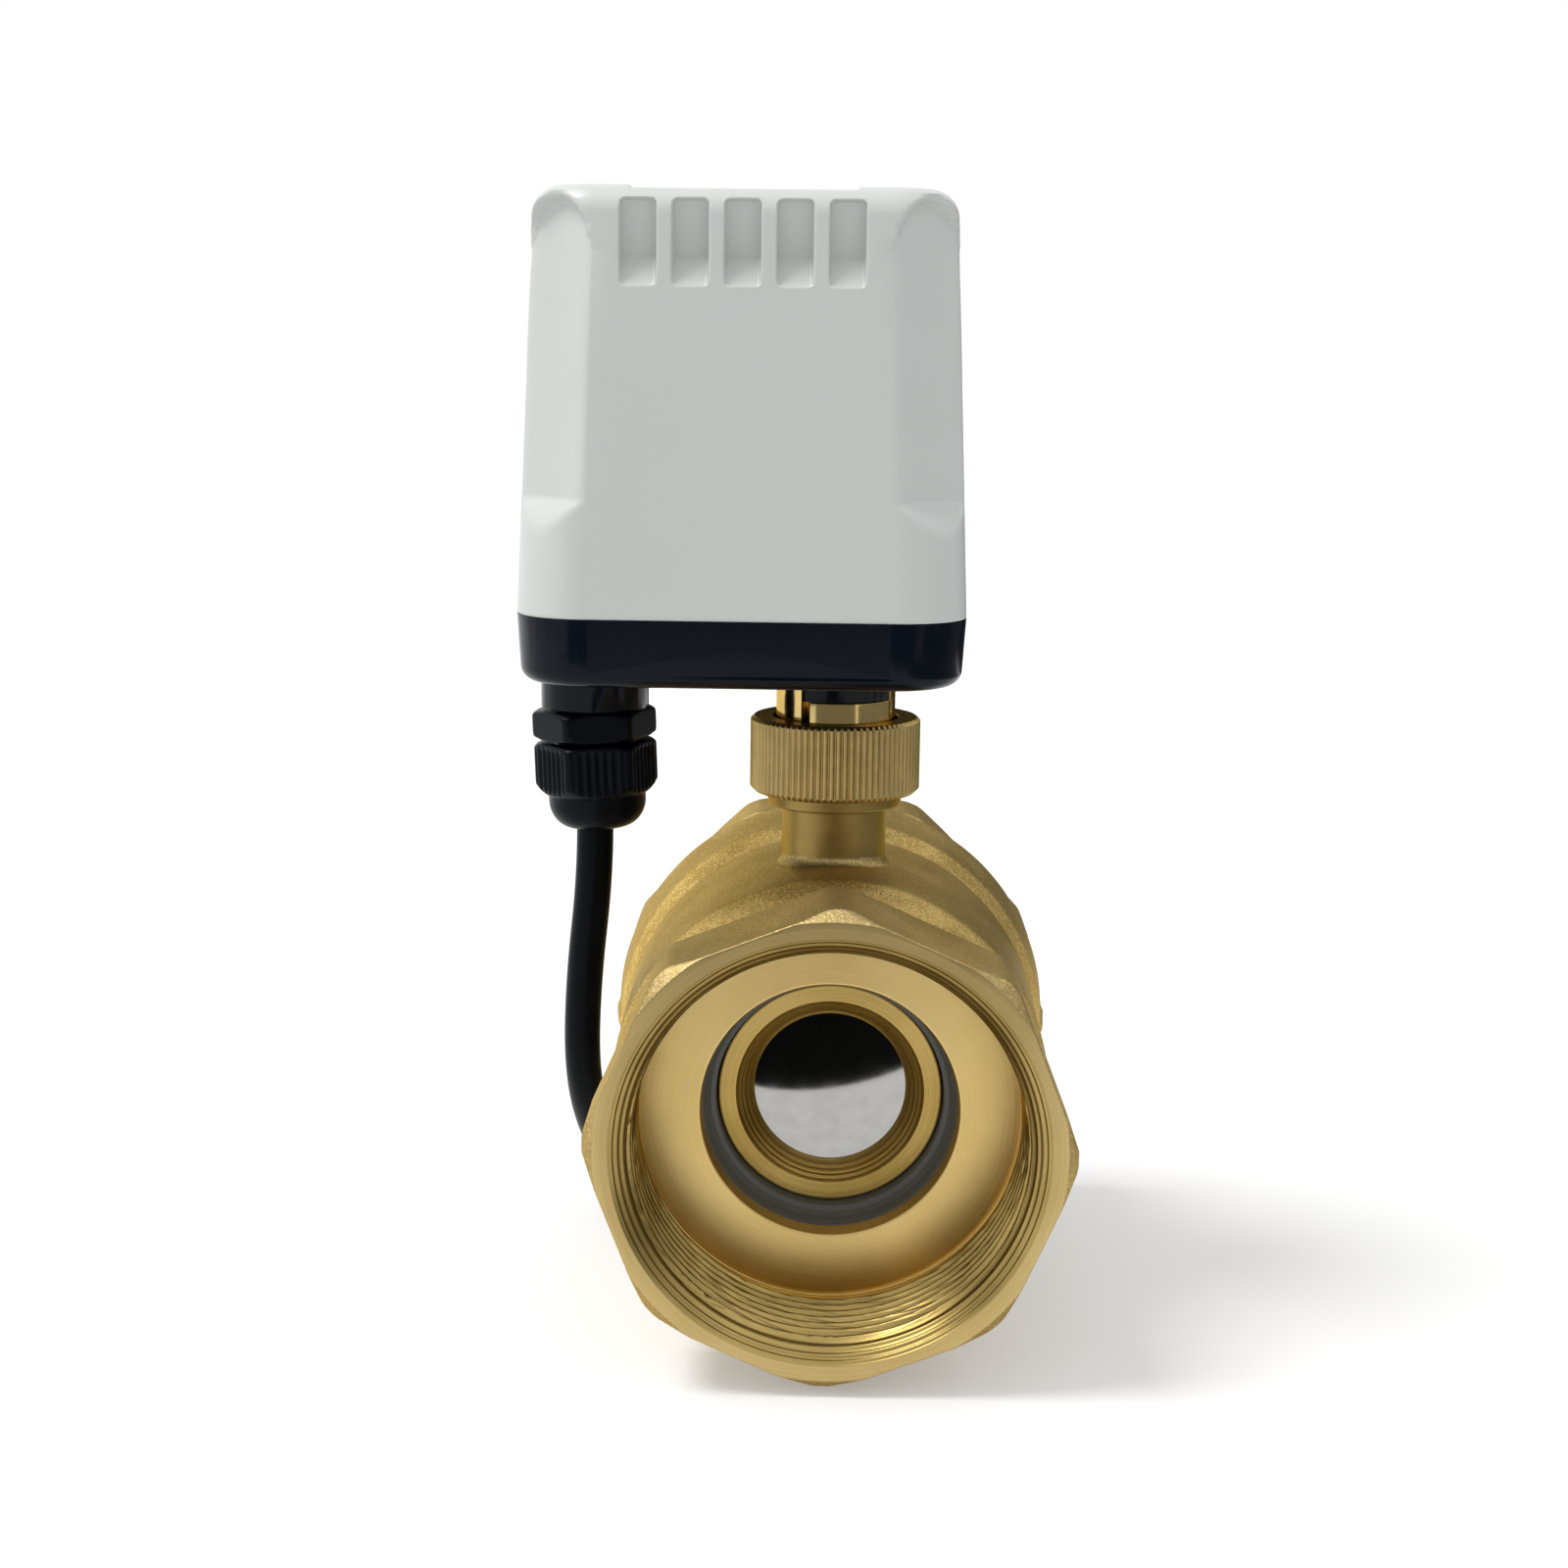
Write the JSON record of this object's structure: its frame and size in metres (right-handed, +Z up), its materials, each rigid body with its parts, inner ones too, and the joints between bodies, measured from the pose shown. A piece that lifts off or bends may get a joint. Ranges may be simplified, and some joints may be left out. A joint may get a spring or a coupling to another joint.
{
  "type": "motorized ball valve",
  "caption": "Brass two-way ball valve with threaded ports, turned by a plastic-cased electric gear actuator on a knurled union nut, with a cable gland and a coiled supply cable.",
  "frame": {"origin": "centre of the front port's mouth, on the pipe axis", "axes": "+Y along the pipe axis from the front port to the rear port, +Z up the valve stem to the actuator, +X to the right seen from the front port"},
  "size_m": [0.0843, 0.1654, 0.1714],
  "materials": {
    "forged_brass": "sand-blasted and part machined",
    "turned_brass": "machined",
    "chromed_brass": "polished chrome plate",
    "steel": "plated",
    "light_plastic": "satin moulded",
    "navy_plastic": "satin moulded",
    "black_plastic": "moulded nylon",
    "gear_plastic": "acetal",
    "green_board": "lacquered board",
    "ptfe": "waxy",
    "dark_rubber": "matte",
    "cable_sheath": "matte sheath",
    "wire": "insulated wire"
  },
  "bodies": {
    "valve": {"valve_body": "forged_brass", "end_cap": "forged_brass", "end_cap_gasket": "ptfe", "front_seat_retainer": "turned_brass", "rear_seat_retainer": "turned_brass", "front_seat": "ptfe", "rear_seat": "ptfe", "front_seal_ring": "dark_rubber", "rear_seal_ring": "dark_rubber", "stem_washer": "ptfe", "actuator_bush": "turned_brass", "nut_retaining_clip": "steel", "base": "navy_plastic", "cover_gasket": "dark_rubber", "cover": "light_plastic", "cover_screws": "steel", "gear_axles": "steel", "gear_plate": "steel", "plate_screws": "steel", "limit_switches": "black_plastic", "circuit_board": "green_board", "board_standoffs": "turned_brass", "motor": "steel", "gland_body": "black_plastic", "gland_dome_nut": "black_plastic", "gland_seal": "dark_rubber", "cable_entry": "cable_sheath", "power_cable": "cable_sheath", "cable_coil": "cable_sheath", "wire_ends": "wire"},
    "ball_drive": {"ball": "chromed_brass", "stem": "turned_brass", "stem_o_rings": "dark_rubber", "output_shaft": "steel", "output_gear": "gear_plastic", "limit_cam": "black_plastic"},
    "union_nut": {"union_nut": "turned_brass"},
    "middle_gear": {"middle_gear": "gear_plastic"},
    "first_gear": {"first_gear": "gear_plastic"},
    "motor_rotor": {"motor_pinion": "turned_brass", "motor_shaft": "steel"}
  },
  "joints": [
    {"name": "ball_turn", "type": "hinge", "parent": "valve", "child": "ball_drive", "pos_m": [0, 0.0475, 0], "axis": [0, 0, 1], "range_deg": [0, 90]},
    {"name": "nut_turn", "type": "hinge", "parent": "valve", "child": "union_nut", "pos_m": [0, 0.0475, 0], "axis": [0, 0, 1], "continuous": true},
    {"name": "middle_gear_turn", "type": "hinge", "parent": "valve", "child": "middle_gear", "pos_m": [-0.01675, 0.05531, 0], "axis": [0, 0, 1], "range_deg": [-324, 0]},
    {"name": "first_gear_turn", "type": "hinge", "parent": "valve", "child": "first_gear", "pos_m": [-0.02141, 0.04097, 0], "axis": [0, 0, 1], "range_deg": [0, 1296]},
    {"name": "motor_turn", "type": "hinge", "parent": "valve", "child": "motor_rotor", "pos_m": [-0.02885, 0.0321, 0], "axis": [0, 0, 1], "range_deg": [-4665.6, 0]}
  ],
  "couplings": [
    {"joint": "middle_gear_turn", "follows": "ball_turn", "ratio": -3.6},
    {"joint": "first_gear_turn", "follows": "ball_turn", "ratio": 14.4},
    {"joint": "motor_turn", "follows": "ball_turn", "ratio": -51.84}
  ]
}
